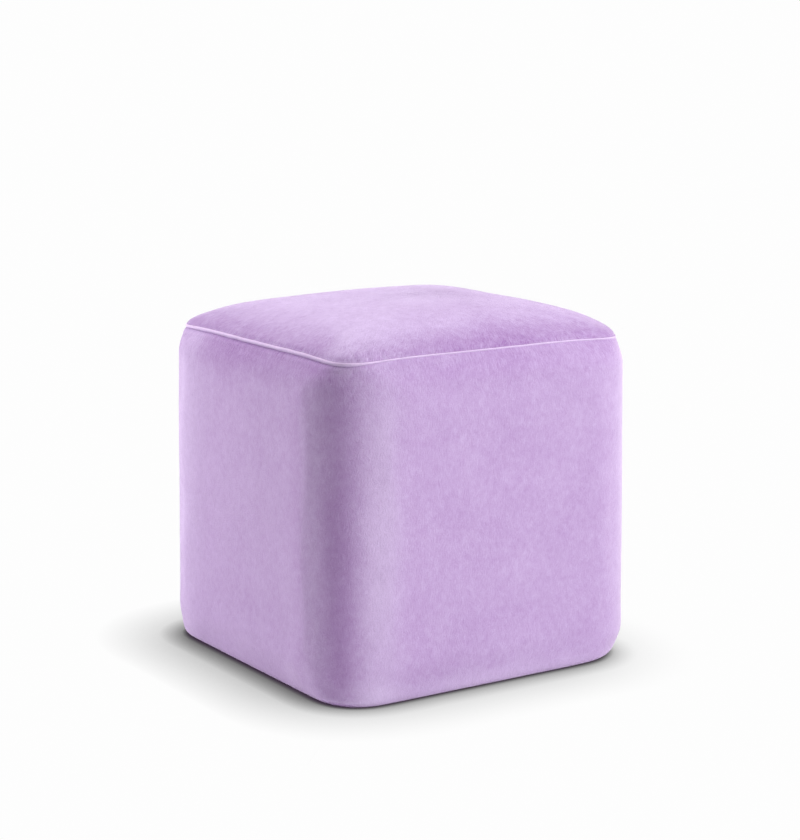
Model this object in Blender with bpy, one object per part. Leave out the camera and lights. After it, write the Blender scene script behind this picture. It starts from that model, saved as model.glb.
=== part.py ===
"""Cube pouf stool: a filled velvet cube with rounded corners and a crowned, piped top.

Four sewn pieces, each one closed solid: the side band with what it holds, the crowned
top panel, the piping in the seam between them, and the flat panel under the base.

Every solid is a loft of level rings, each ring a square outline with rounded corners.
Metres, +Z up. The origin is on the floor, under the middle of the base.
"""

import math

import bmesh
import bpy

# Sides. The plan is square, and a little wider at the floor than under the shoulder.
HALF_WIDTH = 0.1966
BASE_SPREAD = 0.0034
CORNER_RADIUS = 0.073
SEAM_HEIGHT = 0.358

# Shoulder, where the sides draw in to the seam. A power of 1 would be a straight bevel.
SHOULDER_DEPTH = 0.033
SHOULDER_INSET = 0.0188
SHOULDER_POWER = 2.1
SEAM_CORNER_RADIUS = 0.028
SEAM_SIDE_BULGE = 0.0028

# Lower edge, which rolls under to the base panel.
BASE_INSET = 0.0205
BASE_ROLL_HEIGHT = 0.041
BASE_ROLL_POWER = 1.9
BASE_CORNER_RADIUS = 0.037

# Top panel. Its crown is fullest a little off the middle, and grows rounder towards there.
CROWN_RISE = 0.039
CROWN_POWER = 1.07
CROWN_SHIFT = (0.033, -0.020)
CROWN_ROUNDING_POWER = 1.5

# The seam is pulled down at its four corners, over this reach below it.
CORNER_SAG = 0.0026
SAG_REACH = 0.100
SAG_SHARPNESS = 12
SAG_INNER_SHARE = 0.6

# Sewn parts.
PIPING_RADIUS = 0.0021
BASE_PANEL_THICKNESS = 0.002
BASE_PANEL_MARGIN = 0.0015
BASE_PANEL_EDGE = 0.0006
GAP = 0.0003

# Steps of the lofts.
CORNER_STEPS = 14
SIDE_STEPS = 12
ROLL_STEPS = 8
WALL_STEPS = 5
SHOULDER_STEPS = 9
GROOVE_STEPS = 6
CROWN_STEPS = 16
PIPING_SIDES = 12
INNER_SHARES = (0.93, 0.86, 0.78, 0.70, SAG_INNER_SHARE)

# Worked out from the above.
SEAM_HALF = HALF_WIDTH - SHOULDER_INSET
SEAM_CORNER_DISTANCE = math.sqrt(2.0) * (SEAM_HALF - SEAM_CORNER_RADIUS) + SEAM_CORNER_RADIUS
GROOVE_RADIUS = PIPING_RADIUS + GAP
BODY_BOTTOM = BASE_PANEL_THICKNESS + GAP

# Colours, in sRGB, with roughness.
MATERIALS = {
    "side_velvet": ((0.78, 0.66, 0.84), 0.85),
    "top_velvet": ((0.83, 0.73, 0.90), 0.85),
    "piping_velvet": ((0.80, 0.69, 0.86), 0.80),
    "base_cloth": ((0.20, 0.16, 0.23), 0.95),
}


def clear_scene():
    for item in list(bpy.data.objects):
        bpy.data.objects.remove(item, do_unlink=True)


def linear(channel):
    """One sRGB channel as linear light."""
    if channel <= 0.04045:
        return channel / 12.92
    return ((channel + 0.055) / 1.055) ** 2.4


def make_material(name):
    colour, roughness = MATERIALS[name]
    material = bpy.data.materials.new(name)
    material.use_nodes = True
    shader = material.node_tree.nodes["Principled BSDF"]
    shader.inputs["Base Color"].default_value = (*[linear(channel) for channel in colour], 1.0)
    shader.inputs["Roughness"].default_value = roughness
    shader.inputs["Metallic"].default_value = 0.0
    return material


def smooth_step(value):
    value = min(max(value, 0.0), 1.0)
    return value * value * (3.0 - 2.0 * value)


def outline(half, radius, bulge=0.0):
    """Square outline with rounded corners, anticlockwise; the sides bulge out in the middle."""
    points = []
    for corner in range(4):
        turn = corner * math.pi / 2.0
        centre_x = (half - radius) * (math.cos(turn) - math.sin(turn))
        centre_y = (half - radius) * (math.sin(turn) + math.cos(turn))
        for step in range(CORNER_STEPS + 1):
            angle = turn + step / CORNER_STEPS * math.pi / 2.0
            points.append((centre_x + radius * math.cos(angle), centre_y + radius * math.sin(angle)))
        facing = turn + math.pi / 2.0
        for step in range(1, SIDE_STEPS):
            share = step / SIDE_STEPS
            along = (half - radius) * (1.0 - 2.0 * share)
            out = half + bulge * 4.0 * share * (1.0 - share)
            x = out * math.cos(facing) + along * math.sin(facing)
            y = out * math.sin(facing) - along * math.cos(facing)
            points.append((x, y))
    return points


def sag(x, y, z):
    """How far the seam's corners are pulled down at a point."""
    distance = math.hypot(x, y) / SEAM_CORNER_DISTANCE
    near_corner = abs(math.sin(2.0 * math.atan2(y, x))) ** SAG_SHARPNESS
    outward = smooth_step((distance - SAG_INNER_SHARE) / (1.0 - SAG_INNER_SHARE))
    upward = smooth_step((z - SEAM_HEIGHT + SAG_REACH) / SAG_REACH)
    return CORNER_SAG * near_corner * outward * upward


def ring(points, height):
    """A level outline as points in space, with the corner sag."""
    return [(x, y, height - sag(x, y, height)) for x, y in points]


def seam_ring(offset, rise, share=1.0):
    """The seam's outline moved outward and upward, or shrunk to a share of itself."""
    points = outline(SEAM_HALF + offset, SEAM_CORNER_RADIUS + offset, SEAM_SIDE_BULGE)
    return ring([(x * share, y * share) for x, y in points], SEAM_HEIGHT + rise)


def groove_rings(first_angle, last_angle):
    """Rings on the arc that clears the piping, between two angles around its middle."""
    rings = []
    for step in range(GROOVE_STEPS + 1):
        angle = first_angle + (last_angle - first_angle) * step / GROOVE_STEPS
        rings.append(seam_ring(GROOVE_RADIUS * math.cos(angle), GROOVE_RADIUS * math.sin(angle)))
    return rings


def inner_rings(side):
    """Rings of the flat face inside the seam, from its edge inwards; side is 1 above, -1 below."""
    rise = side * GAP / 2.0
    return [seam_ring(-GROOVE_RADIUS, rise, share) for share in INNER_SHARES]


def loft(name, rings, material, closed=False):
    """One solid skinned over rings: capped at both ends, or closed into a loop."""
    mesh = bmesh.new()
    rows = [[mesh.verts.new(point) for point in points] for points in rings]
    pairs = list(zip(rows, rows[1:]))
    if closed:
        pairs.append((rows[-1], rows[0]))
    for lower, upper in pairs:
        for index, vertex in enumerate(lower):
            following = (index + 1) % len(lower)
            mesh.faces.new((vertex, lower[following], upper[following], upper[index]))
    if not closed:
        mesh.faces.new(list(reversed(rows[0])))
        mesh.faces.new(rows[-1])
    data = bpy.data.meshes.new(name)
    mesh.to_mesh(data)
    mesh.free()
    data.materials.append(make_material(material))
    data.shade_smooth()
    data.set_sharp_from_angle(angle=math.radians(35.0))
    item = bpy.data.objects.new(name, data)
    bpy.context.collection.objects.link(item)
    return item


def side_outline(height):
    """Outline of the side band at a height: base roll, wall or shoulder."""
    half = HALF_WIDTH + BASE_SPREAD * (1.0 - height / SEAM_HEIGHT)
    radius = CORNER_RADIUS
    bulge = 0.0
    roll_top = BODY_BOTTOM + BASE_ROLL_HEIGHT
    shoulder_bottom = SEAM_HEIGHT - SHOULDER_DEPTH
    if height < roll_top:
        drop = (roll_top - height) / BASE_ROLL_HEIGHT
        turned = 1.0 - max(0.0, 1.0 - drop ** BASE_ROLL_POWER) ** (1.0 / BASE_ROLL_POWER)
        half -= BASE_INSET * turned
        radius += (BASE_CORNER_RADIUS - CORNER_RADIUS) * turned
    if height > shoulder_bottom:
        climb = (height - shoulder_bottom) / SHOULDER_DEPTH
        half -= SHOULDER_INSET * climb ** SHOULDER_POWER
        radius += (SEAM_CORNER_RADIUS - CORNER_RADIUS) * climb ** 2
        bulge = SEAM_SIDE_BULGE * climb ** 2
    return outline(half, radius, bulge)


def side_heights(lip_height):
    """Heights of the side band's rings, closer together where it curves."""
    heights = []
    for step in range(ROLL_STEPS):
        heights.append(BODY_BOTTOM + BASE_ROLL_HEIGHT * (1.0 - math.cos(step / ROLL_STEPS * math.pi / 2.0)))
    roll_top = BODY_BOTTOM + BASE_ROLL_HEIGHT
    shoulder_bottom = SEAM_HEIGHT - SHOULDER_DEPTH
    for step in range(WALL_STEPS):
        heights.append(roll_top + (shoulder_bottom - roll_top) * step / WALL_STEPS)
    for step in range(SHOULDER_STEPS):
        heights.append(shoulder_bottom + (lip_height - shoulder_bottom) * step / SHOULDER_STEPS)
    return heights


def build_side_band():
    """The sides and what they hold, up to a groove that the piping lies in."""
    slope = SHOULDER_INSET * SHOULDER_POWER / SHOULDER_DEPTH
    lip_angle = -math.atan2(1.0, slope)
    floor_angle = -math.pi + math.asin(GAP / 2.0 / GROOVE_RADIUS)
    lip_height = SEAM_HEIGHT + GROOVE_RADIUS * math.sin(lip_angle)
    rings = [ring(side_outline(height), height) for height in side_heights(lip_height)]
    rings += groove_rings(lip_angle, floor_angle)
    rings += inner_rings(-1)
    return loft("side_band", rings, "side_velvet")


def build_top_panel():
    """The crowned top: steep at the seam, then a broad dome."""
    first_angle = math.pi - math.asin(GAP / 2.0 / GROOVE_RADIUS)
    first_turn = 2.0 * math.asin(GROOVE_RADIUS / CROWN_RISE)
    rings = list(reversed(inner_rings(1)))
    rings += groove_rings(first_angle, math.pi / 2.0)
    for step in range(CROWN_STEPS):
        turn = first_turn + (math.pi / 2.0 - first_turn) * step / CROWN_STEPS
        share = math.cos(turn)
        rise = CROWN_RISE * math.sin(turn) ** CROWN_POWER
        rounding = (1.0 - share) ** CROWN_ROUNDING_POWER
        radius = SEAM_CORNER_RADIUS + (SEAM_HALF - SEAM_CORNER_RADIUS) * rounding
        points = outline(SEAM_HALF * share, radius * share, SEAM_SIDE_BULGE * share)
        shift_x = CROWN_SHIFT[0] * (1.0 - share)
        shift_y = CROWN_SHIFT[1] * (1.0 - share)
        rings.append(ring([(x + shift_x, y + shift_y) for x, y in points], SEAM_HEIGHT + rise))
    return loft("top_panel", rings, "top_velvet")


def build_piping():
    """The round welt all along the seam."""
    rings = []
    for side in range(PIPING_SIDES):
        angle = side / PIPING_SIDES * math.tau
        rings.append(seam_ring(PIPING_RADIUS * math.cos(angle), PIPING_RADIUS * math.sin(angle)))
    return loft("top_piping", rings, "piping_velvet", closed=True)


def build_base_panel():
    """The flat panel that closes the underside and lies on the floor."""
    points = side_outline(BODY_BOTTOM)
    half = max(x for x, y in points) - BASE_PANEL_MARGIN
    radius = BASE_CORNER_RADIUS - BASE_PANEL_MARGIN
    levels = (
        (0.0, BASE_PANEL_EDGE),
        (BASE_PANEL_EDGE, 0.0),
        (BASE_PANEL_THICKNESS - BASE_PANEL_EDGE, 0.0),
        (BASE_PANEL_THICKNESS, BASE_PANEL_EDGE),
    )
    rings = [ring(outline(half - inset, radius - inset), height) for height, inset in levels]
    return loft("base_panel", rings, "base_cloth")


def main():
    clear_scene()
    build_base_panel()
    build_side_band()
    build_piping()
    build_top_panel()


main()
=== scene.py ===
# Cube pouf in lilac velvet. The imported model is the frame; this file gives it its looks.
# Lengths are in metres, and patterns are sized from millimetres.
import math

import bpy
import numpy as np
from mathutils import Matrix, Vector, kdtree, noise


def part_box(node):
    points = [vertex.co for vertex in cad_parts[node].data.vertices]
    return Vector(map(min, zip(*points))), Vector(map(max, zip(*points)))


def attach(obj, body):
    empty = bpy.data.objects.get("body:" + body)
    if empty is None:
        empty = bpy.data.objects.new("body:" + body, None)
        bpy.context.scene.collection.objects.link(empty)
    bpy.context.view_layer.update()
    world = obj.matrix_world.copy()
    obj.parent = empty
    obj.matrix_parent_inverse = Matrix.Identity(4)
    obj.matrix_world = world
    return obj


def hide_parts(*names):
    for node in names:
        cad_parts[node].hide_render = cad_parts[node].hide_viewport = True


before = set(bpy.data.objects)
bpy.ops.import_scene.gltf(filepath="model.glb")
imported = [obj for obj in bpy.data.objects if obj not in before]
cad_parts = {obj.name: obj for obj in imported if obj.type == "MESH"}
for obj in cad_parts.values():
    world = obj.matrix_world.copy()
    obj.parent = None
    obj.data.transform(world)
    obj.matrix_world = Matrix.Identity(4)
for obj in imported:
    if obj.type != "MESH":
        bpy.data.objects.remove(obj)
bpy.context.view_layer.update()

mm = 0.001


def hexColour(code):
    # sRGB hex, as a colour picker gives it, turned to the linear colour that shaders take
    channels = [int(code[i:i + 2], 16) / 255 for i in (0, 2, 4)]
    return tuple(c / 12.92 if c <= 0.04045 else ((c + 0.055) / 1.055) ** 2.4 for c in channels) + (1.0,)


def addNode(tree, kind, settings=None, inputs=None):
    # settings are the node's own, inputs are values or the output socket that feeds them
    node = tree.nodes.new(kind)
    for key, value in (settings or {}).items():
        setattr(node, key, value)
    for key, value in (inputs or {}).items():
        if isinstance(value, bpy.types.NodeSocket):
            tree.links.new(value, node.inputs[key])
        else:
            node.inputs[key].default_value = value
    return node


def newMaterial(name):
    material = bpy.data.materials.new(name)
    material.use_nodes = True
    tree = material.node_tree
    tree.nodes.clear()
    return material, tree


_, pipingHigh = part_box("top_piping")
_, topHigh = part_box("top_panel")
baseLow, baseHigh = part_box("base_panel")

# the shape of the whole, as the model has it
pouf = {
    "halfWidth": 0.1966,        # centre to side, under the shoulder
    "baseSpread": 0.0034,       # how much further out the sides are at the floor
    "cornerRadius": 0.073,
    "pipingRadius": 0.0021,
    "shoulderDepth": 0.033,
    "shoulderPower": 2.1,
    "seamCornerRadius": 0.028,
    "seamBulge": 0.0028,
    "baseInset": 0.0205,
    "baseRoll": 0.041,
    "baseRollPower": 1.9,
    "baseCornerRadius": 0.037,
    "crownPower": 1.07,
    "crownShift": (0.033, -0.020),
    "crownRounding": 1.5,
    "cornerSag": 0.0026,
    "sagReach": 0.100,          # how far below the seam it begins,
    "sagStart": 0.6,            # from which share of the way out to the corner,
    "sagSharpness": 12,         # and how closely it keeps to the corner
    "gap": 0.0003,
    "pileGap": 0.0001,          # the pile of the panels closes up to the piping
    "footBottom": 0.0004,       # the pile hangs down round the base panel, nearly to the floor
    "footFill": 0.0030,         # and stands out a little further there
    "footReach": 0.026,
    "cornerEase": 0.012,        # over this length each flat side turns into the corner's curve
}
seamHeight = pipingHigh.z - pouf["pipingRadius"]
seamHalf = pipingHigh.x - pouf["pipingRadius"] - pouf["seamBulge"]
shoulderInset = pouf["halfWidth"] - seamHalf
crownRise = topHigh.z - seamHeight
bodyBottom = baseHigh.z + pouf["gap"]
seamLength = 8 * (seamHalf - pouf["seamCornerRadius"] * (1 - math.pi / 4))
rollTop = bodyBottom + pouf["baseRoll"]
shoulderBottom = seamHeight - pouf["shoulderDepth"]


def smoothStep(x):
    x = np.clip(x, 0.0, 1.0)
    return x * x * (3 - 2 * x)


def squareRing(around, half, radius, bulge=0.0):
    # Points on a square with rounded corners. around runs from 0 to 1, from the middle of the +X side,
    # and is even along each side, so columns of points stay evenly spaced.
    quarter = np.floor(around * 4)
    local = around * 4 - quarter
    mirrored = local > 0.5
    share = np.where(mirrored, 1 - local, local) * 2
    straight = half - radius
    length = share * (straight + radius * math.pi / 4)
    onSide = length < straight
    sidePart = np.minimum(length / np.maximum(straight, 1e-9), 1)
    angle = np.maximum(length - straight, 0) / radius
    x = np.where(onSide, half + bulge * (1 - sidePart ** 2), straight + radius * np.cos(angle))
    y = np.where(onSide, length, straight + radius * np.sin(angle))
    x, y = np.where(mirrored, y, x), np.where(mirrored, x, y)
    turn = quarter * math.pi / 2
    return x * np.cos(turn) - y * np.sin(turn), x * np.sin(turn) + y * np.cos(turn)


def sagAt(x, y, z):
    # the seam's corners are pulled down a little
    cornerDistance = math.sqrt(2) * (seamHalf - pouf["seamCornerRadius"]) + pouf["seamCornerRadius"]
    nearCorner = np.abs(np.sin(2 * np.arctan2(y, x))) ** pouf["sagSharpness"]
    start = pouf["sagStart"]
    outward = smoothStep((np.hypot(x, y) / cornerDistance - start) / (1 - start))
    upward = smoothStep((z - seamHeight + pouf["sagReach"]) / pouf["sagReach"])
    return pouf["cornerSag"] * nearCorner * outward * upward


def levelRing(x, y, height):
    z = np.full_like(x, height)
    return np.stack([x, y, z - sagAt(x, y, z)], axis=1)


def seamRing(around, offset, rise):
    # the seam's outline, moved out and up
    radius = pouf["seamCornerRadius"] + offset
    x, y = squareRing(around, seamHalf + offset, radius, pouf["seamBulge"])
    return levelRing(x, y, seamHeight + rise)


def easeRing(ring, share=1.0):
    # softens the change from the flat sides to the round corners
    flat = ring[:, 0] + 1j * ring[:, 1]
    turns = np.fft.fftfreq(len(flat), 1 / len(flat))
    fading = np.exp(-(turns * math.tau * pouf["cornerEase"] / seamLength) ** 2 / 2)
    eased = np.fft.ifft(np.fft.fft(flat) * fading)
    moved = (eased - flat) * share
    return ring + np.stack([moved.real, moved.imag, np.zeros(len(flat))], axis=1)


def loftMesh(name, rings, closed=False):
    # Joins rings of points. Rings of one length are joined by quads, and where the next ring has half or
    # twice as many points, by a triangle and a quad in turn.
    points, faces, starts = [], [], []
    for ring in rings:
        starts.append(len(points))
        points.extend(map(tuple, ring))
    pairs = [(i, i + 1) for i in range(len(rings) - 1)] + ([(len(rings) - 1, 0)] if closed else [])
    for low, high in pairs:
        count, above = len(rings[low]), len(rings[high])
        a, b = starts[low], starts[high]
        for i in range(count):
            j = (i + 1) % count
            if above == count:
                faces.append((a + i, a + j, b + j, b + i))
            elif above * 2 == count and i % 2 == 0:
                k, following = i // 2, (i // 2 + 1) % above
                last = (i + 2) % count
                faces.append((a + i, a + j, b + k))
                faces.append((a + j, a + last, b + following, b + k))
            elif above == count * 2:
                k, last = 2 * i, (2 * i + 2) % above
                faces.append((b + k + 1, b + k, a + i))
                faces.append((a + i, a + j, b + last, b + k + 1))
    if not closed:
        faces.append(tuple(range(starts[0] + len(rings[0]) - 1, starts[0] - 1, -1)))
        faces.append(tuple(range(starts[-1], starts[-1] + len(rings[-1]))))
    mesh = bpy.data.meshes.new(name)
    mesh.from_pydata(points, [], faces)
    mesh.update()
    mesh.shade_smooth()
    piece = bpy.data.objects.new(name, mesh)
    bpy.context.collection.objects.link(piece)
    return piece


def readArray(mesh, what):
    values = np.zeros(len(mesh.vertices) * 3, np.float32)
    mesh.vertices.foreach_get(what, values)
    return values.reshape(-1, 3)


def pushOut(piece, amounts):
    # moves each point along its own normal
    points = readArray(piece.data, "co") + readArray(piece.data, "normal") * np.asarray(amounts)[:, None]
    piece.data.vertices.foreach_set("co", points.astype(np.float32).ravel())
    piece.data.update()


def storeValue(piece, name, values):
    # a value for each point, which the material reads by its name
    layer = piece.data.attributes.new(name, "FLOAT", "POINT")
    layer.data.foreach_set("value", np.asarray(values, np.float32))


def storeBrush(piece, around, depth):
    # where each point lies along the seam, laid on a circle so that the ends meet, and how far from it;
    # the pile's strands run away from the seam
    radius = seamLength / math.tau
    layer = piece.data.attributes.new("brush", "FLOAT_VECTOR", "POINT")
    brush = np.stack([radius * np.cos(around * math.tau), radius * np.sin(around * math.tau), depth], axis=1)
    layer.data.foreach_set("vector", brush.astype(np.float32).ravel())


def noiseField(points, size, seed=0.0):
    # smooth noise from -1 to 1, with lumps of the given size
    shift = Vector((seed * 3.7, seed * 1.9, seed * 5.3))
    return np.array([noise.noise(Vector(p) / size + shift) for p in points])


def drawStrokes(along, depth, strokes, total):
    # Soft ridges and troughs that start at a seam. Each is a row: where it starts along the seam, how it
    # leans, how far it reaches, how wide and how high it is.
    relief = np.zeros(len(along))
    rise = 1.2 * mm             # how far from the seam they reach their height
    for start, lean, length, width, height in strokes:
        offset = (along - start - lean * depth + total / 2) % total - total / 2
        near = np.flatnonzero((np.abs(offset) < 3 * width) & (depth > 0) & (depth < length))
        fade = (1 - smoothStep(depth[near] / length)) * smoothStep(depth[near] / rise)
        relief[near] += height * np.exp(-(offset[near] / width) ** 2) * fade
    return relief


def scatterStrokes(settings, total):
    # puckers come in patches; most of them are troughs, and the ridges are lower
    chance = np.random.default_rng(settings["seed"])
    strokes = []
    while len(strokes) < settings["count"]:
        start = chance.uniform(0, total)
        patch = noise.noise(Vector((start / settings["patchSize"], settings["seed"], 0.5)))
        if chance.uniform(-0.5, 0.5) > patch:
            continue
        sign = -1 if chance.uniform() < 0.6 else 0.7
        strokes.append((
            start, chance.normal(settings["lean"], settings["leanSpread"]),
            chance.uniform(*settings["length"]) * mm, chance.uniform(*settings["width"]) * mm,
            sign * chance.uniform(*settings["height"]) * mm))
    return strokes


padding = {
    "voxel": 6 * mm,
    "pressure": 4.0,
    "frames": 20,
    "cap": 2.2 * mm,            # the pouf is firmly filled, so its cover moves little
    "sewnDepth": 5 * mm,        # how far from a seam the cover is held
    "evenOut": 40,              # rounds of averaging that part the slow swell from the uneven rest
    "steady": 2,                # rounds of averaging for the rest
    "swellShare": 0.3,          # the panels are cut to shape for most of the slow swell
    "neighbours": 8,            # how many points of the coarse copy move one point of the fine mesh
}


def averageAlong(edges, values, rounds):
    # each point takes the mean of itself and its neighbours, over and over
    count = np.bincount(edges.ravel(), minlength=len(values))[:, None] + 1.0
    for _ in range(rounds):
        total = values.copy()
        for column in range(3):
            total[:, column] += np.bincount(edges[:, 0], values[edges[:, 1], column], len(values))
            total[:, column] += np.bincount(edges[:, 1], values[edges[:, 0], column], len(values))
        values = total / count
    return values


def simulatePadding(piece, sewn):
    # How far each point of a piece goes when its cover is blown up from inside while its sewn edges stay.
    # A coarse copy is simulated, and what it does is laid over the fine mesh.
    points = readArray(piece.data, "co")
    print("padding of", piece.name)
    copy = bpy.data.objects.new("coarseCopy", piece.data.copy())
    bpy.context.collection.objects.link(copy)
    bpy.ops.object.select_all(action="DESELECT")
    bpy.context.view_layer.objects.active = copy
    copy.select_set(True)
    copy.data.remesh_voxel_size = padding["voxel"]
    bpy.ops.object.voxel_remesh()
    start = readArray(copy.data, "co")
    copy.vertex_groups.new(name="sewn").add([int(i) for i in np.flatnonzero(sewn(start))], 1.0, "REPLACE")
    cloth = copy.modifiers.new("cloth", "CLOTH")
    cloth.settings.use_pressure = True
    cloth.settings.uniform_pressure_force = padding["pressure"]
    cloth.settings.effector_weights.gravity = 0
    cloth.settings.vertex_group_mass = "sewn"
    cloth.point_cache.frame_start, cloth.point_cache.frame_end = 1, padding["frames"]
    for number in range(1, padding["frames"] + 1):
        bpy.context.scene.frame_set(number)
    moved = readArray(copy.evaluated_get(bpy.context.evaluated_depsgraph_get()).data, "co") - start
    moved *= np.minimum(1, padding["cap"] / np.maximum(np.linalg.norm(moved, axis=1), 1e-9))[:, None]
    moved = moved.astype(float)
    edges = np.zeros(len(copy.data.edges) * 2, np.int32)
    copy.data.edges.foreach_get("vertices", edges)
    edges = edges.reshape(-1, 2)
    bpy.data.objects.remove(copy)
    bpy.context.scene.frame_set(1)

    swell = averageAlong(edges, moved, padding["evenOut"])
    moved = averageAlong(edges, moved, padding["steady"]) - swell * (1 - padding["swellShare"])
    tree = kdtree.KDTree(len(start))
    for number, point in enumerate(start):
        tree.insert(point, number)
    tree.balance()
    found = [tree.find_n(point, padding["neighbours"]) for point in points]
    nearest = np.array([[index for _, index, _ in row] for row in found])
    shares = np.exp(-(np.array([[far for _, _, far in row] for row in found]) / padding["voxel"]) ** 2) + 1e-9
    return (moved[nearest] * (shares / shares.sum(axis=1)[:, None])[:, :, None]).sum(axis=1)


def movePoints(piece, moves):
    piece.data.vertices.foreach_set("co", (readArray(piece.data, "co") + moves).astype(np.float32).ravel())
    piece.data.update()


velvet = {
    "roughness": 0.9,
    "ior": 1.5,                 # polyester fibre
    "specular": 0.1,
    "sheen": 0.45,
    "sheenRoughness": 0.45,
    "sheenTint": "fffaff",
    "cloudSize": 45 * mm,       # patches left by hands and brushing
    "tuftSize": 8 * mm,
    "grainSize": 1.3 * mm,      # ends of the pile; real ones are near 0.4 mm, drawn coarser to show
    "hairSize": 1.2 * mm,       # strands that lie over, brushed away from the seam
    "hairStretch": 6.0,
    "leanSize": 14 * mm,        # over this distance the strands lean another way
    "lean": 9 * mm,
    "seamReach": 45 * mm,       # how far from the seam the strands show more strongly
    "bump": 0.45 * mm,
}


def makeVelvet(name, pile, seed):
    # Polyester velvet, woven and cut: a short dense pile, matt and deep where it is seen end on and pale
    # at its edges, with cloudy patches where the pile leans another way.
    material, tree = newMaterial(name)
    place = addNode(tree, "ShaderNodeTexCoord").outputs["Object"]
    place = addNode(tree, "ShaderNodeVectorMath", {"operation": "ADD"}, {0: place, 1: (seed,) * 3}).outputs[0]
    brush = addNode(tree, "ShaderNodeAttribute", {"attribute_name": "brush"}).outputs["Vector"]
    fromSeam = addNode(tree, "ShaderNodeSeparateXYZ", inputs={0: brush}).outputs["Z"]
    # the strands wander as they lie
    wander = addNode(tree, "ShaderNodeTexNoise", inputs={
        "Vector": place, "Scale": 1 / velvet["leanSize"], "Detail": 1.0, "Roughness": 0.55}).outputs["Color"]
    wander = addNode(tree, "ShaderNodeVectorMath", {"operation": "SUBTRACT"}, {
        0: wander, 1: (0.5,) * 3}).outputs[0]
    wander = addNode(tree, "ShaderNodeVectorMath", {"operation": "SCALE"}, {
        0: wander, "Scale": velvet["lean"]}).outputs[0]
    tuftPlace = addNode(tree, "ShaderNodeVectorMath", {"operation": "ADD"}, {0: place, 1: wander}).outputs[0]
    hairPlace = addNode(tree, "ShaderNodeVectorMath", {"operation": "ADD"}, {
        0: brush, 1: (seed,) * 3}).outputs[0]
    hairPlace = addNode(tree, "ShaderNodeVectorMath", {"operation": "ADD"}, {
        0: hairPlace, 1: wander}).outputs[0]
    hairPlace = addNode(tree, "ShaderNodeVectorMath", {"operation": "MULTIPLY"}, {
        0: hairPlace, 1: (1, 1, 1 / velvet["hairStretch"])}).outputs[0]
    clouds, tufts, grain, hairs = [
        addNode(tree, "ShaderNodeTexNoise", inputs={
            "Vector": vector, "Scale": 1 / velvet[size], "Detail": 2.0, "Roughness": rough}).outputs["Fac"]
        for vector, size, rough in (
            (place, "cloudSize", 0.55), (tuftPlace, "tuftSize", 0.55), (place, "grainSize", 0.7),
            (hairPlace, "hairSize", 0.6))]
    hairDepth = addNode(tree, "ShaderNodeMapRange", {"interpolation_type": "SMOOTHSTEP"}, {
        "Value": fromSeam, "From Min": 0.0, "From Max": velvet["seamReach"],
        "To Min": pile["hairsNearSeam"], "To Max": pile["hairs"]}).outputs["Result"]
    # each layer of noise swings the shade about the middle of the two colours
    # this stored value holds tone where the pile leans another way, together with painted light and shade laid
    # on the pieces
    napAndPaintedLight = addNode(tree, "ShaderNodeAttribute", {"attribute_name": "napAndPaintedLight"}).outputs["Fac"]
    shade = addNode(tree, "ShaderNodeMath", {"operation": "ADD"}, {0: napAndPaintedLight, 1: 0.5}).outputs[0]
    for layer, depth in (
            (clouds, pile["clouds"]), (tufts, pile["tufts"]), (grain, pile["grain"]), (hairs, hairDepth)):
        swing = addNode(tree, "ShaderNodeMath", {"operation": "SUBTRACT"}, {0: layer, 1: 0.5}).outputs[0]
        shade = addNode(tree, "ShaderNodeMath", {"operation": "MULTIPLY_ADD"}, {
            0: swing, 1: depth, 2: shade}).outputs[0]
    colour = addNode(tree, "ShaderNodeMix", {"data_type": "RGBA", "clamp_factor": False}, {
        0: shade, 6: hexColour(pile["deep"]), 7: hexColour(pile["pale"])}).outputs[2]
    relief = addNode(tree, "ShaderNodeMath", {"operation": "MULTIPLY"}, {0: hairs, 1: 2.0}).outputs[0]
    relief = addNode(tree, "ShaderNodeMath", {"operation": "MULTIPLY_ADD"}, {
        0: hairDepth, 1: relief, 2: grain}).outputs[0]
    bump = addNode(tree, "ShaderNodeBump", inputs={"Height": relief, "Distance": velvet["bump"]})
    shader = addNode(tree, "ShaderNodeBsdfPrincipled", inputs={
        "Base Color": colour, "Roughness": velvet["roughness"], "IOR": velvet["ior"],
        "Specular IOR Level": velvet["specular"], "Sheen Weight": velvet["sheen"],
        "Sheen Roughness": velvet["sheenRoughness"], "Sheen Tint": hexColour(velvet["sheenTint"]),
        "Normal": bump.outputs["Normal"]})
    addNode(tree, "ShaderNodeOutputMaterial", inputs={"Surface": shader.outputs[0]})
    return material


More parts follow.
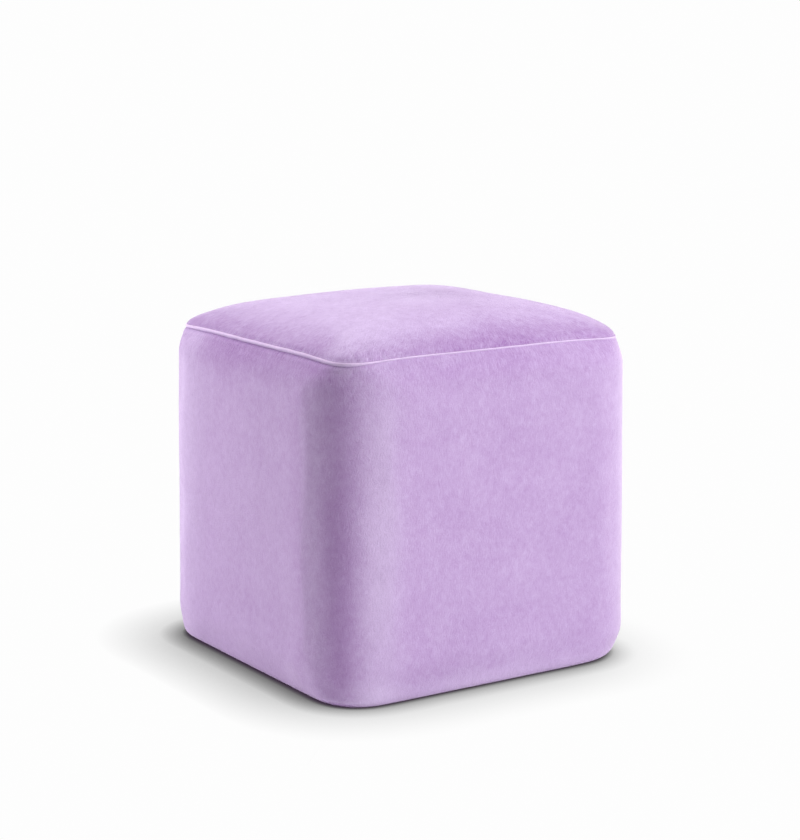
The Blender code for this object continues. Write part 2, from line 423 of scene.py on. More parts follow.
# the panels close up to the piping, so its line comes first
piping = {
    "stations": 1280,
    "sides": 16,
    "swell": 0.09,              # how much its thickness changes
    "swellSize": 18 * mm,
    "sway": 0.28 * mm,          # how far it strays from the seam
    "swaySize": 24 * mm,
    "wrinkle": 0.08 * mm,       # fine folds of the bias strip
    "wrinkleSize": 3.5 * mm,
    "wrinkleTurn": 20 * mm,     # parts the folds on top from those below
    # round the seam: the place, how much of its thickness shows, and the angle round it, in degrees from
    # straight out, at which the side band meets it. Along the -Y side the panels close up over it.
    "shows": (
        (0.00, 1.05, -62), (0.35, 1.05, -62), (0.385, 1.00, -62), (0.42, 1.06, -64), (0.50, 1.08, -66),
        (0.60, 1.08, -66), (0.625, 0.98, -62), (0.638, 0.85, -50), (0.650, 0.62, -30), (0.75, 0.58, -24),
        (0.85, 0.60, -26), (0.89, 0.80, -46), (0.93, 0.98, -58), (1.00, 1.05, -62)),
    "topMeets": 66,             # the same angle for the top panel
    "panelEnds": 0.06,          # how far from straight behind it the panels end, in radians
    "upperPaintedHighlight": 0.34,           # a painted highlight along the top of the cord, where it catches the light
    "paintedHighlightTurn": 0.3,             # the painted highlight's brightest line lies this far outward of the top, in radians
    # where the seam strays further: the place, how far out of line, and how far up, in millimetres
    "strays": (
        (0.00, 0.0, 0.0), (0.36, 0.0, 0.0), (0.375, -1.6, 0.2), (0.39, -0.4, -0.3), (0.42, 0.0, -0.7),
        (0.60, 0.0, -0.8), (0.625, 0.0, -0.5), (0.65, 0.0, -0.3), (1.00, 0.0, 0.0)),
    # the pile seen end on and lying over, and how deep each layer of its shading is. Both colours are paler
    # than the panels' velvet of the same cloth, a painted highlight on the cord
    "pile": {
        "deep": "9a80b4", "pale": "f4d8ff", "clouds": 0.05, "tufts": 0.25, "grain": 0.34, "hairs": 0.0,
        "hairsNearSeam": 0.0},
}


def cordShape(around):
    # its radius, the angle at which the side band meets it, and how far it strays
    stations, shares, angles = zip(*piping["shows"])
    centre = seamRing(around, 0.0, 0.0)
    swell = 1 + piping["swell"] * noiseField(centre, piping["swellSize"], 21.0)
    outward = seamRing(around, 1.0 * mm, 0.0) - centre
    outward /= np.linalg.norm(outward, axis=1)[:, None]
    places, strayOut, strayUp = zip(*piping["strays"])
    swayOut = piping["sway"] * noiseField(centre, piping["swaySize"], 22.0)
    stray = outward * (swayOut + np.interp(around, places, strayOut) * mm)[:, None]
    stray[:, 2] += piping["sway"] * noiseField(centre, piping["swaySize"], 23.0)
    stray[:, 2] += np.interp(around, places, strayUp) * mm
    radius = pouf["pipingRadius"] * np.interp(around, stations, shares) * swell
    return radius, np.radians(np.interp(around, stations, angles)), stray


def cordRing(around, angle, clear=0.0):
    # a line along the piping, at an angle round it, and clear of it by so much
    radius, lip, stray = cordShape(around)
    return seamRing(around, (radius + clear) * np.cos(angle), (radius + clear) * np.sin(angle)) + stray


# places round the pouf run from 0 to 1, as in squareRing: 0.625 is the front corner of the photo
sideBand = {
    "columns": 1280,
    "rollRows": 18,
    "wallRows": 34,
    "shoulderRows": 32,
    "rowPower": 1.35,                       # how much closer the rows lie near the seam
    "grooveRows": 6,
    "waves": ((95, 0.55), (38, 0.18), (15, 0.05)),      # size and height of its undulations, in millimetres
    "waveReach": 30 * mm,                   # how far from the seam and the floor they die out
    "tuckReach": 2.4 * mm,                  # how far from the seam the band is drawn in
    "heldDepth": 1.5 * mm,                  # the padding's movement starts this far from the seam,
    "freeDepth": 6 * mm,                    # is whole this much further on,
    "freeHeight": 8 * mm,                   # and grows over this height from the floor
    "baseEdge": 0.5 * mm,                   # how far outside the base panel's edge it ends, over the panel,
    "baseClear": 0.7 * mm,                  # and how far beside that edge it comes down,
    "baseWrap": 1.2 * mm,                   # at this height
    # where it stands out a little more: the place, the width there and how far in millimetres
    "fullness": ((0.875, 0.035, 2.8), (0.375, 0.035, 1.6), (0.625, 0.035, 0.6), (0.125, 0.035, 0.6)),
    # where the lower edge lifts off the floor, in the same way, and up to what height that shows
    "lifts": ((0.873, 0.022, 4.0),),
    "liftReach": 32 * mm,
    "puckers": {
        "seed": 5, "count": 420, "patchSize": 70 * mm, "lean": 0.15, "leanSpread": 0.28,
        "length": (6, 20), "width": (1.0, 1.9), "height": (0.05, 0.20)},
    # painted shade along the foot, where it meets the floor
    "footPaintedShade": 0.5,                        # how much darker the turned-under foot is
    "footPaintedShadeReach": 2.5 * mm,
    # patches of painted light and shade, and of tone where the pile leans another way: the place, the
    # width there, the middle height and how tall in millimetres, and how much lighter
    "napAndPaintedLight": (
        # round the front corner: a painted dark band where the light falls off, painted highlights beside it
        (0.580, 0.008, 200, 200, -0.06), (0.5905, 0.0045, 190, 260, 0.08), (0.599, 0.006, 220, 250, 0.09),
        (0.620, 0.012, 120, 210, -0.20), (0.650, 0.015, 150, 170, 0.25), (0.654, 0.008, 280, 120, 0.06),
        # under the seam: painted shade below the piping, with a few painted lighter spots
        (0.490, 0.095, 350, 26, -0.32), (0.598, 0.014, 350, 12, -0.24), (0.622, 0.008, 352, 10, 0.14),
        (0.710, 0.025, 352, 8, 0.10), (0.750, 0.090, 350, 20, -0.14), (0.860, 0.020, 350, 12, -0.12),
        (0.250, 0.090, 350, 20, -0.12), (1.000, 0.090, 350, 20, -0.12),
        # near the floor: a painted dark line along the foot, and painted light thrown up from the floor
        (0.622, 0.024, 3.0, 1.3, -0.15), (0.622, 0.020, 6.5, 2.2, 0.30), (0.645, 0.020, 16, 14, 0.14),
        (0.740, 0.110, 8, 12, 0.22),
        # round the corners to the left and right, painted highlights where the velvet is seen edge on;
        # on the sides behind, a little lighter here and darker there
        (0.412, 0.022, 250, 250, 0.24), (0.874, 0.014, 220, 230, 0.15), (0.110, 0.060, 120, 60, 0.08),
        (0.300, 0.050, 230, 60, -0.07)),
    # the pile seen end on and lying over, and how deep each layer of its shading is
    "pile": {
        "deep": "9565ab", "pale": "d9c2eb", "clouds": 0.20, "tufts": 0.25, "grain": 0.36, "hairs": 0.42,
        "hairsNearSeam": 0.7},
}
closingSeam = {
    "around": 0.125,            # down the corner behind, where a band is joined
    "depth": 0.9 * mm,
    "width": 1.3 * mm,
    "puckerSize": 5.625 * mm,
    "puckerReach": 11 * mm,
    "puckerHeight": 0.5 * mm,
}


def sideHalf(height):
    # half width, corner radius and bulge at a height
    power = pouf["baseRollPower"]
    drop = np.clip((rollTop - height) / (rollTop - pouf["footBottom"]), 0, 1)
    turned = 1 - np.maximum(0, 1 - drop ** power) ** (1 / power)
    climb = np.maximum((height - shoulderBottom) / pouf["shoulderDepth"], 0)
    half = pouf["halfWidth"] + pouf["baseSpread"] * (1 - height / seamHeight)
    half = half - pouf["baseInset"] * turned - shoulderInset * climb ** pouf["shoulderPower"]
    half = half + pouf["footFill"] * (1 - smoothStep(height / pouf["footReach"]))
    radius = pouf["cornerRadius"] + (pouf["baseCornerRadius"] - pouf["cornerRadius"]) * turned
    radius = radius + (pouf["seamCornerRadius"] - pouf["cornerRadius"]) * climb ** 2
    return half, radius, pouf["seamBulge"] * climb ** 2


def closingSeamRelief(around, height):
    # a plain joining seam, with small puckers on both sides of it
    across = ((around - closingSeam["around"] + 0.5) % 1 - 0.5) * seamLength
    beside = smoothStep(1 - np.abs(across) / closingSeam["puckerReach"])
    rows = np.array([noise.noise(Vector((z / closingSeam["puckerSize"], 4.5, 8.0))) for z in height])
    relief = closingSeam["puckerHeight"] * beside * rows
    return relief - closingSeam["depth"] * np.exp(-(across / closingSeam["width"]) ** 2)


def bellAt(around, place, width):
    # 1 at a place round the pouf, fading on both sides of it
    return np.exp(-(((around - place + 0.5) % 1 - 0.5) / width) ** 2)


def buildSideBand():
    rings, arounds, levels = [], [], []

    def addRing(ring, level):
        rings.append(ring)
        arounds.append(around)
        levels.append(level)

    # over the base panel, down round its edge, out under the roll and up the wall
    count = sideBand["columns"] // 2
    around = np.arange(count) / count
    footHalf, footRadius, _ = sideHalf(pouf["footBottom"])
    for clear, height in (
            (sideBand["baseEdge"], bodyBottom), (sideBand["baseClear"], sideBand["baseWrap"])):
        inset = footHalf - baseHigh.x - clear
        ring = levelRing(*squareRing(around, footHalf - inset, footRadius - inset), height)
        addRing(ring, np.full(count, height))
    covered = 2 * count                     # the points so far, which don't show
    rollTurns = np.arange(sideBand["rollRows"]) / sideBand["rollRows"] * math.pi / 2
    heights = list(pouf["footBottom"] + (rollTop - pouf["footBottom"]) * (1 - np.cos(rollTurns)))
    heights += list(np.linspace(rollTop, shoulderBottom, sideBand["wallRows"], endpoint=False))
    for height in heights:
        addRing(easeRing(levelRing(*squareRing(around, *sideHalf(height)), height)), np.full(count, height))

    # the shoulder: the seam draws the band in under the piping, or lets it out to cover the piping
    around = np.arange(sideBand["columns"]) / sideBand["columns"]
    radius, lip, stray = cordShape(around)
    lipHeight = seamHeight + stray[:, 2] + radius * np.sin(lip)
    bare = np.stack(squareRing(around, *sideHalf(lipHeight)), axis=1)
    drawn = cordRing(around, lip, pouf["pileGap"])[:, :2] - bare
    for step in range(sideBand["shoulderRows"]):
        climb = 1 - (1 - step / sideBand["shoulderRows"]) ** sideBand["rowPower"]
        height = shoulderBottom + (lipHeight - shoulderBottom) * climb
        half, corner, bulge = sideHalf(height)
        near = np.exp(-((lipHeight - height) / sideBand["tuckReach"]) ** 2)[:, None]
        x, y = (np.stack(squareRing(around, half, corner, bulge), axis=1) + drawn * near).T
        ease = smoothStep((lipHeight - height) / pouf["shoulderDepth"])
        addRing(easeRing(levelRing(x, y, height), ease), height)
    for part in np.linspace(0, 1, sideBand["grooveRows"]):
        angle = lip + (piping["panelEnds"] - math.pi - lip) * part
        addRing(cordRing(around, angle, pouf["pileGap"]), lipHeight)

    piece = loftMesh("sideVelvet", rings)
    around, height = np.concatenate(arounds), np.concatenate(levels)
    swelled = simulatePadding(piece, lambda p: (p[:, 2] > seamHeight - padding["sewnDepth"]) | (
        p[:, 2] < padding["sewnDepth"]))
    points = readArray(piece.data, "co")
    depth = np.interp(around, np.append(arounds[-1], 1), np.append(lipHeight, lipHeight[0])) - height
    calm = smoothStep(depth / sideBand["waveReach"])
    calm *= smoothStep((height - bodyBottom) / sideBand["waveReach"])
    relief = np.zeros(len(points))
    for number, (size, tall) in enumerate(sideBand["waves"]):
        relief += tall * mm * noiseField(points, size * mm, 2.0 + number) * calm
    strokes = scatterStrokes(sideBand["puckers"], seamLength)
    relief += drawStrokes(around * seamLength, depth, strokes, seamLength)
    relief += closingSeamRelief(around, height) * (depth > 0)
    for place, width, tall in sideBand["fullness"]:
        relief += tall * mm * bellAt(around, place, width) * calm
    low = (1 - smoothStep(height / sideBand["liftReach"])) * (np.arange(len(points)) >= covered)
    for place, width, tall in sideBand["lifts"]:
        relief -= tall * mm * bellAt(around, place, width) * low
    pushOut(piece, relief)
    free = smoothStep((depth - sideBand["heldDepth"]) / sideBand["freeDepth"])
    movePoints(piece, swelled * (free * smoothStep(height / sideBand["freeHeight"]))[:, None])
    storeBrush(piece, around, np.maximum(depth, 0))
    # painted shade along the foot, then the patches of painted light and shade and of tone
    napAndPaintedLight = -sideBand["footPaintedShade"] * (1 - smoothStep(height / sideBand["footPaintedShadeReach"]))
    for place, width, middle, tall, value in sideBand["napAndPaintedLight"]:
        napAndPaintedLight += value * bellAt(around, place, width) * np.exp(-((height - middle * mm) / (tall * mm)) ** 2)
    storeValue(piece, "napAndPaintedLight", napAndPaintedLight)
    return piece


print("side band")
sidePiece = buildSideBand()
sidePiece.data.materials.append(makeVelvet("polyesterVelvetSides", sideBand["pile"], 3.0))


# places on the top are x and y from the middle, in millimetres
topPanel = {
    "columns": 1280,
    "grooveRows": 6,
    "filletRows": (0.2, 0.42, 0.7),         # between the piping and the crown, as shares of the way
    "filletPower": 1.8,
    "filletLength": 2.4 * mm,
    "crownRows": 74,
    "rowSpread": 0.45,                      # how much closer the rows lie near the seam
    "leastStep": 1.0 * mm,                  # where columns come closer than this, every other one ends
    "leastColumns": 20,
    "waves": ((70, 0.5), (30, 0.18)),       # size and height of its undulations, in millimetres
    "waveReach": 26 * mm,
    "heldDepth": 2 * mm,                    # as on the side band
    "freeDepth": 6 * mm,
    # where the filling stands up a little more: the place, the width there and how far, in millimetres
    "fullness": ((168, -128, 34, 1.2), (-75, 140, 45, -1.6), (15, 75, 50, 0.3), (145, -20, 40, -0.7)),
    "puckers": {
        "seed": 9, "count": 280, "patchSize": 60 * mm, "lean": -0.1, "leanSpread": 0.4,
        "length": (7, 24), "width": (1.1, 2.2), "height": (0.05, 0.22)},
    # the creases that gather over the front corner: where along the seam from that corner, how they lean,
    # how far they reach, their width and their height, in millimetres
    "frontCreases": (
        (10, -0.9, 34, 1.7, -0.40), (17, -0.8, 38, 1.9, 0.30), (24, -0.7, 36, 1.7, -0.38),
        (31, -0.6, 30, 1.9, 0.26), (39, -0.5, 28, 1.7, -0.30), (48, -0.4, 22, 1.8, -0.22),
        (-9, 0.5, 24, 1.8, -0.28), (-18, 0.4, 22, 1.8, 0.20)),
    "edgePaintedShade": -0.20,                       # near the seam the top is drawn darker, a painted shade
    "edgeStart": 2 * mm,                    # that begins this far outside the seam's line
    "edgeReach": 24 * mm,
    # patches where the pile leans another way: the place, the width there, and how much lighter
    "napAndPaintedLight": (
        (-140, -155, 55, 0.24), (-40, 0, 90, 0.12), (20, -165, 60, -0.08), (-170, 0, 40, -0.06),
        (-160, -115, 22, -0.12), (-30, -172, 40, 0.09)),
    "pile": {
        "deep": "9565ab", "pale": "d9c2eb", "clouds": 0.36, "tufts": 0.44, "grain": 0.42, "hairs": 0.60,
        "hairsNearSeam": 0.85},
}


def sumOfBells(points, rows):
    # adds up soft round patches, each a row of its x, y and width in millimetres and its value
    total = np.zeros(len(points))
    for x, y, width, value in rows:
        squared = (points[:, 0] - x * mm) ** 2 + (points[:, 1] - y * mm) ** 2
        total += value * np.exp(-squared / (width * mm) ** 2)
    return total


def buildTopPanel():
    rings, arounds, depths = [], [], []

    def addRing(ring, depth):
        rings.append(ring)
        arounds.append(around)
        depths.append(np.full(len(ring), depth))

    count = topPanel["columns"]
    around = np.arange(count) / count
    meets = math.radians(piping["topMeets"])
    behind = math.pi - piping["panelEnds"]
    for part in np.linspace(0, 1, topPanel["grooveRows"]):
        addRing(cordRing(around, behind + (meets - behind) * part, pouf["pileGap"]), 0.0)
    lip = rings[-1]

    # The crown, from the seam to its top. The first row is about as high as the piping is thick.
    firstTurn = 2.0 * math.asin(pouf["pipingRadius"] / crownRise)
    length, lastIn, lastUp = topPanel["filletLength"], 0.0, 0.0
    for step in range(topPanel["crownRows"]):
        part = step / topPanel["crownRows"]
        spread = topPanel["rowSpread"]
        turn = firstTurn + (math.pi / 2 - firstTurn) * ((1 - spread) * part + spread * part ** 2)
        share = math.cos(turn)
        while count > topPanel["leastColumns"] and 8 * seamHalf * share / count < topPanel["leastStep"]:
            count //= 2
        around = np.arange(count) / count
        rise = crownRise * math.sin(turn) ** pouf["crownPower"]
        rounding = (1 - share) ** pouf["crownRounding"]
        radius = pouf["seamCornerRadius"] + (seamHalf - pouf["seamCornerRadius"]) * rounding
        x, y = squareRing(around, seamHalf * share, radius * share, pouf["seamBulge"] * share)
        x = x + pouf["crownShift"][0] * (1 - share)
        y = y + pouf["crownShift"][1] * (1 - share)
        ring = levelRing(x, y, seamHeight + rise)
        inward = seamHalf * (1 - share)
        if step:
            length += math.hypot(inward - lastIn, rise - lastUp)
        else:
            # the pile fills the corner between the piping and the rising panel
            for up in topPanel["filletRows"]:
                level = lip + (ring - lip) * up
                level[:, :2] = ring[:, :2] + (lip - ring)[:, :2] * (1 - up) ** topPanel["filletPower"]
                addRing(level, length * up)
        lastIn, lastUp = inward, rise
        addRing(ring, length)

    piece = loftMesh("topVelvet", rings)
    around, depth = np.concatenate(arounds), np.concatenate(depths)
    swelled = simulatePadding(piece, lambda p: p[:, 2] < seamHeight + padding["sewnDepth"])
    points = readArray(piece.data, "co")
    calm = smoothStep(depth / topPanel["waveReach"])
    relief = sumOfBells(points, topPanel["fullness"]) * mm
    for number, (size, tall) in enumerate(topPanel["waves"]):
        relief += tall * mm * noiseField(points, size * mm, 12.0 + number) * calm
    strokes = scatterStrokes(topPanel["puckers"], seamLength)
    frontCorner = 0.625 * seamLength
    for start, lean, reach, width, tall in topPanel["frontCreases"]:
        strokes.append((frontCorner + start * mm, lean, reach * mm, width * mm, tall * mm))
    relief += drawStrokes(around * seamLength, depth, strokes, seamLength)
    pushOut(piece, relief)
    movePoints(piece, swelled * smoothStep((depth - topPanel["heldDepth"]) / topPanel["freeDepth"])[:, None])
    storeBrush(piece, around, depth)
    outermost = np.maximum(np.abs(points[:, 0]), np.abs(points[:, 1]))
    inward = np.maximum(seamHalf + topPanel["edgeStart"] - outermost, 0)
    # painted shade: the top is drawn darker towards the seam
    paintedEdgeShade = topPanel["edgePaintedShade"] * np.exp(-(inward / topPanel["edgeReach"]) ** 2)
    storeValue(piece, "napAndPaintedLight", sumOfBells(points, topPanel["napAndPaintedLight"]) + paintedEdgeShade)
    return piece


print("top panel")
topPiece = buildTopPanel()
topPiece.data.materials.append(makeVelvet("polyesterVelvetTop", topPanel["pile"], 7.0))


def buildPiping():
    around = np.arange(piping["stations"]) / piping["stations"]
    centre = seamRing(around, 0.0, 0.0) + cordShape(around)[2]
    rings = []
    for side in range(piping["sides"]):
        angle = side / piping["sides"] * math.tau
        ring = cordRing(around, angle)
        above = np.array([0, 0, piping["wrinkleTurn"] * math.sin(angle)])
        folds = noiseField(ring + above, piping["wrinkleSize"], 24.0)
        rings.append(ring + (ring - centre) / pouf["pipingRadius"] * (piping["wrinkle"] * folds)[:, None])
    piece = loftMesh("velvetPiping", rings, closed=True)
    angles = np.repeat(np.arange(piping["sides"]) / piping["sides"] * math.tau, piping["stations"])
    # painted highlight: the upper side of the cord is drawn paler
    storeValue(piece, "napAndPaintedLight", piping["upperPaintedHighlight"] * np.maximum(np.sin(angles + piping["paintedHighlightTurn"]), 0) ** 2)
    return piece


print("piping")
pipingPiece = buildPiping()
pipingPiece.data.materials.append(makeVelvet("polyesterVelvetPipingPaintedHighlight", piping["pile"], 11.0))


basePanel = {
    "columns": 320,
    # its section, as heights and insets from its edge in millimetres: from the middle of the underside past
    # the channel for the stitches, round the edge and back along the top
    "section": (
        (0.0, 12.0), (0.0, 7.4), (0.8, 6.9), (0.8, 5.5), (0.0, 5.0), (0.0, 0.7), (0.2, 0.2), (0.6, 0.0),
        (1.4, 0.0), (1.8, 0.2), (2.0, 0.7)),
    "stitchInset": 6.2 * mm,    # from the edge to the row of stitches
    "stitchPitch": 6.0 * mm,
    "stitchLength": 4.2 * mm,
    "stitchRadius": 0.32 * mm,
    "stitchHeight": 0.45 * mm,  # over the floor, at its middle
    "stitchSink": 0.2 * mm,     # and how much its ends sink into the cloth
    "stitchTip": 0.35,          # how thin its ends are
    "stitchSides": 6,
    # its cloth, with the pitch from yarn to yarn and the size of the fibres' fuzz, and the thread
    "cloth": {
        "yarn": "4d3c58", "between": "2b2033", "pitch": 1.2 * mm, "fuzz": mm / 0.9, "fuzzShare": 0.4,
        "bump": 0.25 * mm, "roughness": 0.85, "ior": 1.49, "specular": 0.3},
    "thread": {
        "light": "5b4d68", "dark": "3a2f45", "twist": 0.5 * mm, "bump": 0.1 * mm, "roughness": 0.55,
        "ior": 1.5},
}


def buildBasePanel():
    # a flat panel with a shallow channel for its stitches
    around = np.arange(basePanel["columns"]) / basePanel["columns"]
    radius = pouf["baseCornerRadius"]
    rings = []
    for height, inset in basePanel["section"]:
        x, y = squareRing(around, baseHigh.x - inset * mm, radius - inset * mm)
        rings.append(levelRing(x, y, height * mm))
    return loftMesh("basePanel", rings)


def buildBaseStitches():
    # one running stitch after another, sunk in their channel
    half, radius = baseHigh.x - basePanel["stitchInset"], pouf["baseCornerRadius"] - basePanel["stitchInset"]
    length = 8 * (half - radius * (1 - math.pi / 4))
    count = 4 * round(length / basePanel["stitchPitch"] / 4)
    sides = basePanel["stitchSides"]
    shares = (0.0, 0.15, 0.5, 0.85, 1.0)
    points, faces = [], []
    for number in range(count):
        ends = (np.array([-0.5, 0.5]) * basePanel["stitchLength"] / length + (number + 0.5) / count) % 1
        (x0, x1), (y0, y1) = squareRing(ends, half, radius)
        along = Vector((x1 - x0, y1 - y0, 0))
        across = Vector((-along.y, along.x, 0)).normalized()
        first = len(points)
        for share in shares:
            thick = basePanel["stitchRadius"] * (basePanel["stitchTip"] if share in (0.0, 1.0) else 1.0)
            height = basePanel["stitchHeight"] + basePanel["stitchSink"] * (abs(share - 0.5) * 2) ** 2
            middle = Vector((x0, y0, height)) + along * share
            for side in range(sides):
                angle = side * math.tau / sides
                upward = Vector((0, 0, thick * math.sin(angle)))
                points.append(middle + across * thick * math.cos(angle) + upward)
        last = first + (len(shares) - 1) * sides
        for start in range(first, last, sides):
            for side in range(sides):
                a, b = start + side, start + (side + 1) % sides
                faces.append((a, b, b + sides, a + sides))
        faces.append(tuple(first + side for side in reversed(range(sides))))
        faces.append(tuple(last + side for side in range(sides)))
    mesh = bpy.data.meshes.new("baseStitches")
    mesh.from_pydata(points, [], faces)
    mesh.shade_smooth()
    piece = bpy.data.objects.new("baseStitches", mesh)
    bpy.context.collection.objects.link(piece)
    return piece


def makeBaseCloth():
    # Plain woven polypropylene: matt and near black, with each yarn showing from close by
    cloth = basePanel["cloth"]
    material, tree = newMaterial("wovenBaseCloth")
    place = addNode(tree, "ShaderNodeTexCoord").outputs["Object"]
    yarns = [addNode(tree, "ShaderNodeTexWave", {"bands_direction": direction}, {
        "Vector": place, "Scale": math.tau / 20 / cloth["pitch"], "Distortion": 0.6, "Detail": 1.0,
        "Detail Scale": 2.0}).outputs["Fac"] for direction in "XY"]
    over = addNode(tree, "ShaderNodeTexChecker", inputs={
        "Vector": place, "Scale": 1 / cloth["pitch"]}).outputs["Fac"]
    weave = addNode(tree, "ShaderNodeMix", inputs={0: over, 2: yarns[0], 3: yarns[1]}).outputs[0]
    fuzz = addNode(tree, "ShaderNodeTexNoise", inputs={
        "Vector": place, "Scale": 1 / cloth["fuzz"], "Detail": 3.0}).outputs["Fac"]
    height = addNode(tree, "ShaderNodeMath", {"operation": "MULTIPLY_ADD"}, {
        0: fuzz, 1: cloth["fuzzShare"], 2: weave}).outputs[0]
    colour = addNode(tree, "ShaderNodeValToRGB", inputs={"Fac": height})
    low, high = colour.color_ramp.elements
    low.position, low.color = 0.2, hexColour(cloth["between"])
    high.position, high.color = 1.1 / 1.4, hexColour(cloth["yarn"])
    bump = addNode(tree, "ShaderNodeBump", inputs={"Height": height, "Distance": cloth["bump"]})
    shader = addNode(tree, "ShaderNodeBsdfPrincipled", inputs={
        "Base Color": colour.outputs["Color"], "Roughness": cloth["roughness"], "IOR": cloth["ior"],
        "Specular IOR Level": cloth["specular"], "Normal": bump.outputs["Normal"]})
    addNode(tree, "ShaderNodeOutputMaterial", inputs={"Surface": shader.outputs[0]})
    return material


def makeThread():
    # Spun polyester sewing thread: a little shinier than the cloth, its twist drawn as fine slanting bands
    thread = basePanel["thread"]
    material, tree = newMaterial("polyesterThread")
    place = addNode(tree, "ShaderNodeTexCoord").outputs["Object"]
    twist = addNode(tree, "ShaderNodeTexWave", {"bands_direction": "DIAGONAL"}, {
        "Vector": place, "Scale": math.tau / 20 / thread["twist"], "Distortion": 1.0}).outputs["Fac"]
    colour = addNode(tree, "ShaderNodeValToRGB", inputs={"Fac": twist})
    colour.color_ramp.elements[0].color = hexColour(thread["dark"])
    colour.color_ramp.elements[1].color = hexColour(thread["light"])
    bump = addNode(tree, "ShaderNodeBump", inputs={"Height": twist, "Distance": thread["bump"]})
    shader = addNode(tree, "ShaderNodeBsdfPrincipled", inputs={
        "Base Color": colour.outputs["Color"], "Roughness": thread["roughness"], "IOR": thread["ior"],
        "Normal": bump.outputs["Normal"]})
    addNode(tree, "ShaderNodeOutputMaterial", inputs={"Surface": shader.outputs[0]})
    return material


print("base panel")
basePiece = buildBasePanel()
basePiece.data.materials.append(makeBaseCloth())
stitchPiece = buildBaseStitches()
stitchPiece.data.materials.append(makeThread())


studio = {
    "floor": "f4f4f3",
    "floorHalf": 12.0,
    "backdrop": 0.985,          # how white the sweep behind is, in linear light
    # how far the pouf's shade reaches over the floor, and how fast it deepens
    "shades": ((0.10, 0.70), (0.03, 0.85), (0.006, 0.9)),
    "shadeSamples": 16,
    "openSide": (0.39, -0.15, 0.90),        # most of the sweep's light comes from this side
    "contact": "3c2d40",        # the shade where the pouf meets the floor, with some of its colour
    "nearContact": "6f6e6f",
    "nearLevel": 0.12,
    "lightDistance": 2.2,
    "lightSize": 1.0,
    "lightAim": 0.2,            # the height that the softboxes face
    "lightColours": {"white": (1.0, 1.0, 1.0), "greenish": (0.95, 1.0, 0.925)},
    # softboxes: the side each stands on, in degrees from straight in front towards -X, its height over the
    # floor in degrees, its power in watts and its colour
    "softboxes": (
        ("rightLow", -12, 10, 18.2, "greenish"), ("rightMid", -25, 35, 11.0, "greenish"),
        ("rightHigh", -15, 60, 14.7, "greenish"), ("rimRight", -90, 35, 22, "white"),
        ("rimBack", -120, 14, 14.3, "white"), ("leftKey", 147, 35, 32, "white"),
        ("leftLow", 143, 10, 20, "white"), ("rimLeft", 172, 14, 6, "white"), ("overhead", 0, 84, 14, "white")),
}
photoCamera = {
    "turn": -0.5796,            # radians round the pouf from straight in front
    "distance": 2.3185,
    "height": 0.6931,
    "pitch": 0.1869,
    "pan": -0.0016,
    "focalPixels": 2125.7,      # focal length in pixels of the photo's 840-pixel side
    "longSide": 840,
    "sensor": 36.0,             # in millimetres
}


def addFloor():
    half = studio["floorHalf"]
    mesh = bpy.data.meshes.new("studioFloor")
    corners = [(-half, -half, 0), (half, -half, 0), (half, half, 0), (-half, half, 0)]
    mesh.from_pydata(corners, [], [(0, 1, 2, 3)])
    floor = bpy.data.objects.new("studioFloor", mesh)
    bpy.context.collection.objects.link(floor)
    material, tree = newMaterial("paleFloor")
    shader = addNode(tree, "ShaderNodeBsdfPrincipled", inputs={
        "Base Color": hexColour(studio["floor"]), "Roughness": 0.9, "Specular IOR Level": 0.2})
    # for the eye the floor glows as a white sweep with painted shade, deeper where the pouf closes in round
    # it;
    # for the light it is a plain pale floor
    leaning = addNode(tree, "ShaderNodeCombineXYZ", inputs=dict(enumerate(studio["openSide"]))).outputs[0]
    shade = 1.0
    for reach, power in studio["shades"]:
        lit = addNode(tree, "ShaderNodeAmbientOcclusion", {"samples": studio["shadeSamples"]}, {
            "Distance": reach, "Normal": leaning}).outputs["AO"]
        lit = addNode(tree, "ShaderNodeMath", {"operation": "POWER"}, {0: lit, 1: power}).outputs[0]
        shade = addNode(tree, "ShaderNodeMath", {"operation": "MULTIPLY"}, {0: lit, 1: shade}).outputs[0]
    # the painted shade's colour, from the contact colour through the near shade to the white of the sweep
    tint = addNode(tree, "ShaderNodeValToRGB", inputs={"Fac": shade})
    tint.color_ramp.elements[0].color = hexColour(studio["contact"])
    tint.color_ramp.elements[1].color = (studio["backdrop"],) * 3 + (1,)
    tint.color_ramp.elements.new(studio["nearLevel"]).color = hexColour(studio["nearContact"])
    sweep = addNode(tree, "ShaderNodeEmission", inputs={"Color": tint.outputs["Color"], "Strength": 1.0})
    seen = addNode(tree, "ShaderNodeLightPath").outputs["Is Camera Ray"]
    mix = addNode(tree, "ShaderNodeMixShader", inputs={0: seen, 1: shader.outputs[0], 2: sweep.outputs[0]})
    addNode(tree, "ShaderNodeOutputMaterial", inputs={"Surface": mix.outputs[0]})
    mesh.materials.append(material)


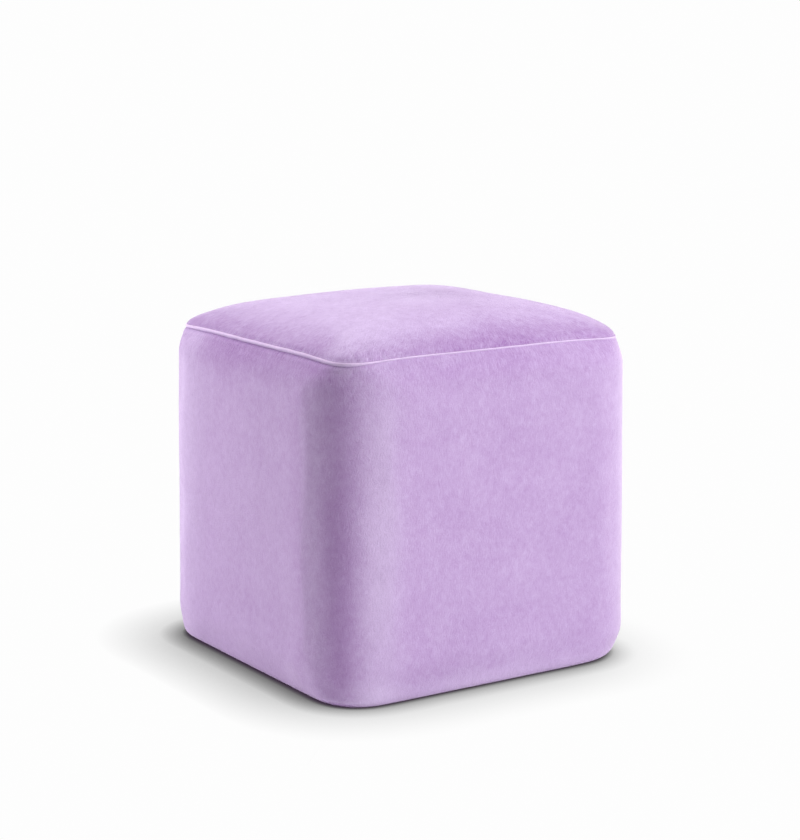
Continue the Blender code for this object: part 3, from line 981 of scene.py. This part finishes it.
def addSoftbox(name, turn, lift, power, colour):
    lamp = bpy.data.lights.new(name, "AREA")
    lamp.shape, lamp.size, lamp.energy = "SQUARE", studio["lightSize"], power
    lamp.color = studio["lightColours"][colour]
    holder = bpy.data.objects.new(name, lamp)
    bpy.context.collection.objects.link(holder)
    turn, lift = math.radians(turn), math.radians(lift)
    away = Vector((-math.sin(turn) * math.cos(lift), -math.cos(turn) * math.cos(lift), math.sin(lift)))
    holder.location = Vector((0, 0, studio["lightAim"])) + away * studio["lightDistance"]
    holder.rotation_euler = away.to_track_quat("Z", "Y").to_euler()
    holder.visible_camera = False


def addCamera():
    camera = bpy.data.cameras.new("photoCamera")
    camera.sensor_width = photoCamera["sensor"]
    camera.lens = photoCamera["focalPixels"] * photoCamera["sensor"] / photoCamera["longSide"]
    holder = bpy.data.objects.new("photoCamera", camera)
    bpy.context.collection.objects.link(holder)
    turn, distance = photoCamera["turn"], photoCamera["distance"]
    holder.location = (distance * math.sin(turn), -distance * math.cos(turn), photoCamera["height"])
    holder.rotation_euler = (math.pi / 2 - photoCamera["pitch"], 0, turn + photoCamera["pan"])
    bpy.context.scene.camera = holder


def addWorld():
    world = bpy.data.worlds.new("studio")
    world.use_nodes = True
    tree = world.node_tree
    tree.nodes.clear()
    fill = addNode(tree, "ShaderNodeBackground", inputs={"Color": (1, 1, 1, 1), "Strength": 0.0})
    sweep = addNode(tree, "ShaderNodeBackground", inputs={
        "Color": (1, 1, 1, 1), "Strength": studio["backdrop"]})
    seen = addNode(tree, "ShaderNodeLightPath")
    mix = addNode(tree, "ShaderNodeMixShader", inputs={
        0: seen.outputs["Is Camera Ray"], 1: fill.outputs[0], 2: sweep.outputs[0]})
    addNode(tree, "ShaderNodeOutputWorld", inputs={"Surface": mix.outputs[0]})
    bpy.context.scene.world = world


print("studio")
addFloor()
for softbox in studio["softboxes"]:
    addSoftbox(*softbox)
addCamera()
addWorld()
bpy.context.scene.view_settings.view_transform = "Standard"

print("joining to the frame")
for piece, node, slot in (
        (sidePiece, "side_band", "side_velvet"),
        (topPiece, "top_panel", "top_velvet"),
        (pipingPiece, "top_piping", "piping_velvet"),
        (basePiece, "base_panel", "base_cloth")):
    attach(piece, "root")
    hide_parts(node)
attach(stitchPiece, "root")
